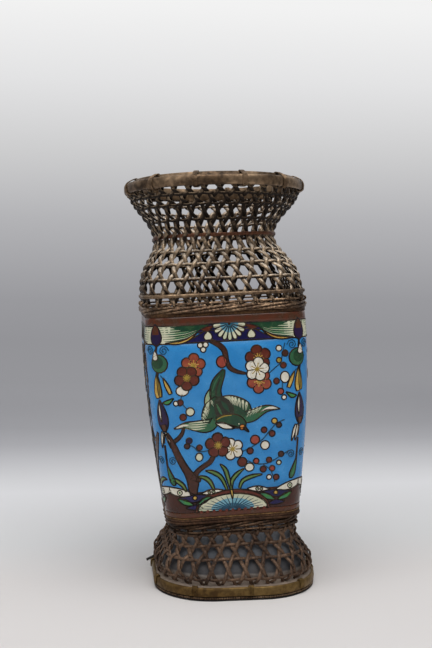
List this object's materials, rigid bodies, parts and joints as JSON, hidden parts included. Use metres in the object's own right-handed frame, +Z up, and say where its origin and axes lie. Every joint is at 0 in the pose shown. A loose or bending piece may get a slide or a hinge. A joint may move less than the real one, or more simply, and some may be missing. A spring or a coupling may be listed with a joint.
{
  "type": "metal vase",
  "caption": "Tall enamelled copper vase with a rounded-square body, an open woven wire neck that flares to a round rim, and a flared woven wire foot.",
  "frame": {"origin": "middle of the whole vase's plan, on the surface it stands on", "axes": "+Z up along the vase, -Y out of the decorated front face, +X to the right of that face"},
  "size_m": [0.145, 0.1372, 0.3097],
  "materials": {
    "weave_bronze": "aged bronze wire with a worn brown patina, lighter where it is rubbed",
    "brown_bronze": "aged bronze wire, redder brown",
    "dark_bronze": "nearly black tarnished wire",
    "foot_brass": "olive brown tarnished brass, satin",
    "strip_brass": "brown brass strip, satin",
    "gilt": "gilt wire, polished",
    "grey_liner": "dull grey sheet metal",
    "copper": "brown tarnished copper, satin",
    "turquoise_enamel": "glossy cloisonne enamel in wire cells, with birds, plum blossom and branches",
    "border_enamel": "glossy cloisonne enamel borders with lappets and fans",
    "red_enamel": "glossy brick red enamel bands"
  },
  "bodies": {
    "root": {"foot_base_ring": "dark_bronze", "foot_notched_wire": "weave_bronze", "foot_band": "foot_brass", "foot_clip_01": "foot_brass", "foot_clip_02": "foot_brass", "foot_clip_03": "foot_brass", "foot_clip_04": "foot_brass", "foot_clip_05": "foot_brass", "foot_clip_06": "foot_brass", "foot_clip_07": "foot_brass", "foot_clip_08": "foot_brass", "foot_clip_09": "foot_brass", "foot_clip_10": "foot_brass", "foot_liner": "grey_liner", "foot_wires_outer": "brown_bronze", "foot_wires_inner": "brown_bronze", "foot_hoop_1": "brown_bronze", "foot_hoop_2": "brown_bronze", "foot_hoop_3": "brown_bronze", "foot_hoop_4": "brown_bronze", "foot_loose_wire": "dark_bronze", "ankle_twist_a": "weave_bronze", "ankle_twist_b": "weave_bronze", "body_bottom_plate": "copper", "body_shell": "copper", "body_lower_strip": "copper", "body_gilt_line": "gilt", "enamel_lower_band": "red_enamel", "enamel_lower_border": "border_enamel", "enamel_field": "turquoise_enamel", "enamel_upper_border": "border_enamel", "enamel_upper_band": "red_enamel", "body_upper_strip": "strip_brass", "shoulder_twist_a": "weave_bronze", "shoulder_twist_b": "weave_bronze", "neck_wires_outer": "weave_bronze", "neck_wires_inner": "weave_bronze", "neck_hoop_1": "brown_bronze", "neck_hoop_2": "weave_bronze", "neck_hoop_3": "weave_bronze", "neck_hoop_4": "weave_bronze", "neck_hoop_5": "brown_bronze", "neck_hoop_6": "weave_bronze", "neck_hoop_7": "weave_bronze", "neck_hoop_8": "weave_bronze", "rim_outer_hoop": "weave_bronze", "rim_inner_hoop": "weave_bronze", "rim_binding_01": "weave_bronze", "rim_binding_02": "weave_bronze", "rim_binding_03": "weave_bronze", "rim_binding_04": "weave_bronze", "rim_binding_05": "weave_bronze", "rim_binding_06": "weave_bronze", "rim_binding_07": "weave_bronze", "rim_binding_08": "weave_bronze", "rim_binding_09": "weave_bronze", "rim_binding_10": "weave_bronze", "rim_binding_11": "weave_bronze", "rim_binding_12": "weave_bronze"}
  },
  "joints": []
}
